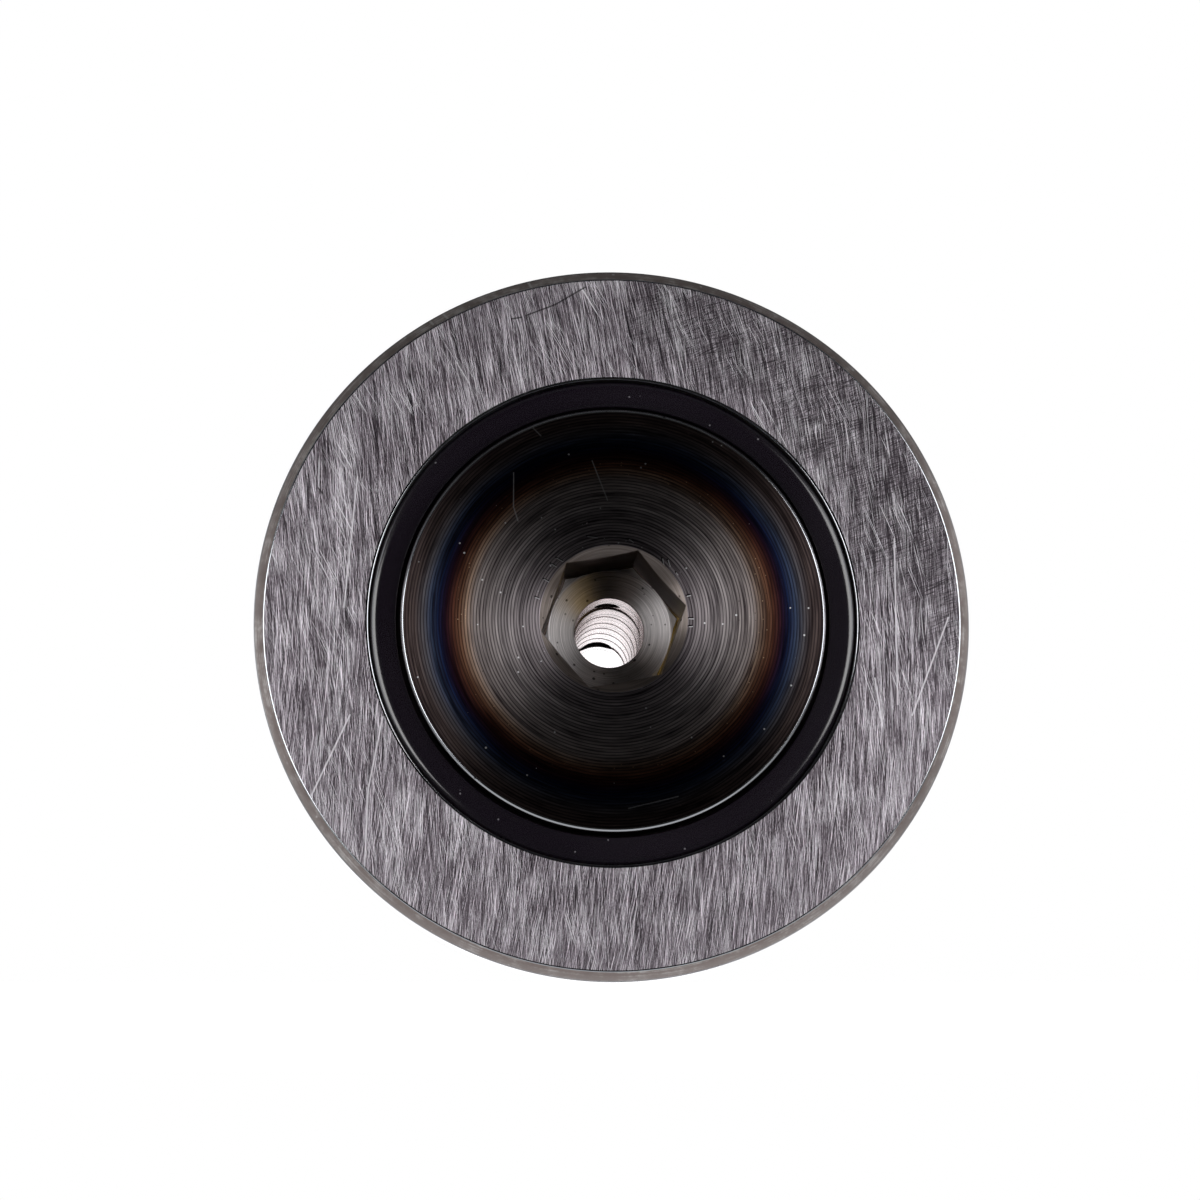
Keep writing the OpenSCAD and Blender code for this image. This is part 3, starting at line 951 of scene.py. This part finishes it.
after_thread = [
    (nipple_r + nipple_chamfer, stud_end, 0.08, "end"),
    (nipple_r, stud_end - nipple_chamfer, 0.08, "bore"),
    (nipple_r, stud_end - nipple_l, 0.08, "bore"),
    (rear_duct, stud_end - nipple_l, 0.05, "bore"),
    # The ledge where the ducts meet takes the dark finish of the flats: painted shade.
    (rear_duct, ducts_meet, 0.04, "flats"),
    (duct_steps[0], ducts_meet, 0.04, "bore"),
    *drilled_steps,
    # This ledge also takes the dark finish of the flats: painted shade.
    (duct_steps[-1], drill_end + nipple_l, 0.05, "flats"),
    (nipple_r, drill_end + nipple_l, 0.08, "bore"),
    (nipple_r, drill_end, 0.1, "floor"),
    (pilot_r, socket_floor, 0.08, "floor"),
    (hexagon, socket_floor, 0.15, "flats"),
    (hexagon, head_face + mouth_r - hexagon, 0.08, "mouth"),
]
stud_corners = before_thread + thread_ends + after_thread
smooth_rows, smooth_finish = rounded(stud_corners, steps=4)
per_corner = len(smooth_rows) // len(stud_corners)
between_ends = per_corner * (len(before_thread) + 1)
first, rest = between_ends - 1, between_ends + 1
stud_rows = np.concatenate([smooth_rows[:first], threads, smooth_rows[rest:]])
stud_finish = np.concatenate([smooth_finish[:first], np.full(len(threads), "thread"),
                              smooth_finish[rest:]])
met = np.arange(len(stud_rows))
met[first:first + len(threads)] = first + threads_met
stud = turned("turned_stud", stud_rows, stud_finish, stud_angles, finish, over_seam=met)
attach(stud, "stud")
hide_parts("stud")

# %% [markdown]
# ## Cross ducts
# Grease leaves the bore through two ducts at right angles to it, one to the raceway and one to the
# shank, where it opens in a small countersink. A closed tool is turned about the axis, laid across
# it, and taken out of the stud.
# %% Drill across the stud
def drilled_across(piece, place, radius, surface_r):
    """Cuts a round duct from the axis out to surface_r in +Z, at a place along the axis.

    The tool is a turned solid whose point (x, y, z) is carried to (x, place - z, y).
    """
    inner, flare = 0.5, 0.35
    corners = [(0.0, inner), (radius, inner), (radius, surface_r - 2 * flare),
               (radius + 2 * flare, surface_r + flare), (0.0, surface_r + flare)]
    section = np.array(corners)[:, None, :]
    tool = turned("duct_tool", section, np.full(len(corners), "bore"), directions(48), finish)
    points = np.empty(len(tool.data.vertices) * 3)
    tool.data.vertices.foreach_get("co", points)
    x, y, z = points.reshape(-1, 3).T
    tool.data.vertices.foreach_set("co", np.stack([x, place * MM - z, y], -1).ravel())
    tool.data.update()
    cut_away = piece.modifiers.new("duct", "BOOLEAN")
    cut_away.operation, cut_away.object, cut_away.solver = "DIFFERENCE", tool, "EXACT"
    cut_away.material_mode = "TRANSFER"
    ready = piece.evaluated_get(bpy.context.evaluated_depsgraph_get())
    whole, drilled = piece.data, bpy.data.meshes.new_from_object(ready)
    piece.modifiers.clear()
    piece.data = drilled
    bpy.data.meshes.remove(whole)
    bpy.data.objects.remove(tool)
    drilled.name = piece.name
    closed_and_smooth(piece)


drilled_across(stud, race_duct_y, race_duct_r, race_r)
drilled_across(stud, shank_duct_y, shank_duct_r, shank_r)

# %% [markdown]
# ## The rollers
# The two rows of rollers are sealed inside. Their CAD shape is already right, so each keeps it and
# takes the lapped finish.
# %% Rollers
rollers = [node for name, node in frame["nodes"].items() if "roller" in name]
for roller in rollers:
    roller.data.materials.clear()
    roller.data.materials.append(finish["roller"])
print("rollers:", len(rollers))

# %% [markdown]
# ## Floor, light and camera
# The camera looks at the head from slightly below and to the left, through a long lens, so the
# round edges stay nearly round. The floor lies below the camera's line of sight. It is white, like
# the room behind, clear when it is seen from below, and hidden from reflections, which come from
# the room alone.
# %% Floor
def flat_floor(size, height):
    """A square in the plane z = height, as a grid of two by two points."""
    side = np.array([-size, size]) / 2
    x, y = np.meshgrid(side, side, indexing="ij")
    points = np.stack([x, y, np.full_like(x, height)], -1).reshape(-1, 3)
    return points, np.array([[0, 2, 3, 1]])


def paper():
    w = start_material("white_paper")
    colour = w.mix(w.noise(w.position, scale=400.0, detail=3.0), rgb(0.86, 0.86, 0.86),
                   rgb(0.9, 0.9, 0.9))
    from_below = w.node("ShaderNodeNewGeometry").outputs["Backfacing"]
    return finish_material(w, colour, 0.8, metallic=0.0, Alpha=w.minus(1.0, from_below),
                           **{"Emission Color": colour, "Emission Strength": 1.1})


floor_size, gap = 6000.0, 0.02
floor_points, floor_faces = flat_floor(floor_size, -ring_r - gap)
studio_floor = make_mesh("studio_floor", floor_points, floor_faces, np.array(["paper"]),
                         {"paper": paper()})
studio_floor.visible_glossy = False

# %% [markdown]
# The room is white where the camera sees it. For reflections it is a dark studio with a pale
# ground and a bright far end: the value changes with the direction alone, so it is the same from
# every side.
# %% Room
world = bpy.data.worlds.new("studio_room")
bpy.context.scene.world = world
world.use_nodes = True
world.node_tree.nodes.clear()
room = Wires(world.node_tree)
sideways, toward_back, up = room.split(room.node("ShaderNodeTexCoord").outputs["Generated"])
far_end = room.times(room.stretch(toward_back, 0.3, 0.8, 0.0, 2.2), room.stretch(up, 0.55, 0.1))
ground = room.times(room.stretch(up, -0.3, -0.85, 0.0, 0.5),
                    room.stretch(toward_back, -0.55, -0.1))
ceiling = room.stretch(up, 0.6, 1.0, 0.0, 0.06)
sides = room.times(room.stretch(room.maths("ABSOLUTE", sideways), 0.5, 1.0, 0.0, 0.18),
                   room.stretch(toward_back, -0.6, -0.2))
glow = 0.008
for part_of_room in (far_end, ground, ceiling, sides):
    glow = room.plus(glow, part_of_room)
seen_light = room.node("ShaderNodeBackground", {"Color": rgb(1.0, 1.0, 1.0), "Strength": 1.0})
cast_light = room.node("ShaderNodeBackground", {"Color": rgb(0.97, 0.98, 1.0), "Strength": glow})
seen = room.node("ShaderNodeLightPath").outputs["Is Camera Ray"]
mixed = room.node("ShaderNodeMixShader", {0: seen, 1: cast_light.outputs[0],
                                          2: seen_light.outputs[0]})
room.node("ShaderNodeOutputWorld", {"Surface": mixed.outputs[0]})


# %% [markdown]
# Two soft boxes stand in front, one on each side, large and close, so that the face is lit evenly
# and the round edges catch a narrow line of light. A lamp in Blender shines along its own -Z, so it
# is turned by the rotation that carries -Z to the direction of its aim.
# %% Lights
def aimed(name, data, place, aim):
    """An object at a place, turned so that its own -Z points at the aim, both in millimetres."""
    place, aim = np.array(place) * MM, np.array(aim) * MM
    made = bpy.data.objects.new(name, data)
    bpy.context.scene.collection.objects.link(made)
    made.location = place
    made.rotation_mode = "QUATERNION"
    made.rotation_quaternion = Vector(aim - place).to_track_quat("-Z", "Y")
    return made


def soft_box(name, place, aim, width, height, power):
    """A rectangular lamp in millimetres and watts."""
    data = bpy.data.lights.new(name, "AREA")
    data.shape, data.size, data.size_y, data.energy = "RECTANGLE", width * MM, height * MM, power
    return aimed(name, data, place, aim)


middle = (0.0, ring_mid, 0.0)
box_width, box_height, box_power = 460.0, 300.0, 1.15
soft_box("left_box", (-360, -330, -20), middle, box_width, box_height, box_power)
soft_box("right_box", (360, -330, 70), middle, box_width, box_height, box_power)


# %% [markdown]
# The camera is aimed in the same way as a lamp. Its place is given as an azimuth and an elevation
# round the middle of the head.
# %% Camera
def place_camera(azimuth, elevation, distance, aim, lens):
    """A camera at a distance from the head's centre, turned to the aim point in the head's plane."""
    data = bpy.data.cameras.new("picture_camera")
    data.lens, data.sensor_width, data.clip_start = lens, 36.0, 0.01
    a, e = math.radians(azimuth), math.radians(elevation)
    back = np.array([math.sin(a) * math.cos(e), -math.cos(a) * math.cos(e), math.sin(e)])
    centre = np.array([0.0, head_face, 0.0])
    camera = aimed("picture_camera", data, centre + back * distance, centre + np.array(aim))
    bpy.context.scene.camera = camera
    return camera


place_camera(azimuth=-2.5, elevation=-7.6, distance=300.0, aim=(-1.53, 0.0, 2.02), lens=81.76)
bpy.context.scene.view_settings.view_transform = "Standard"
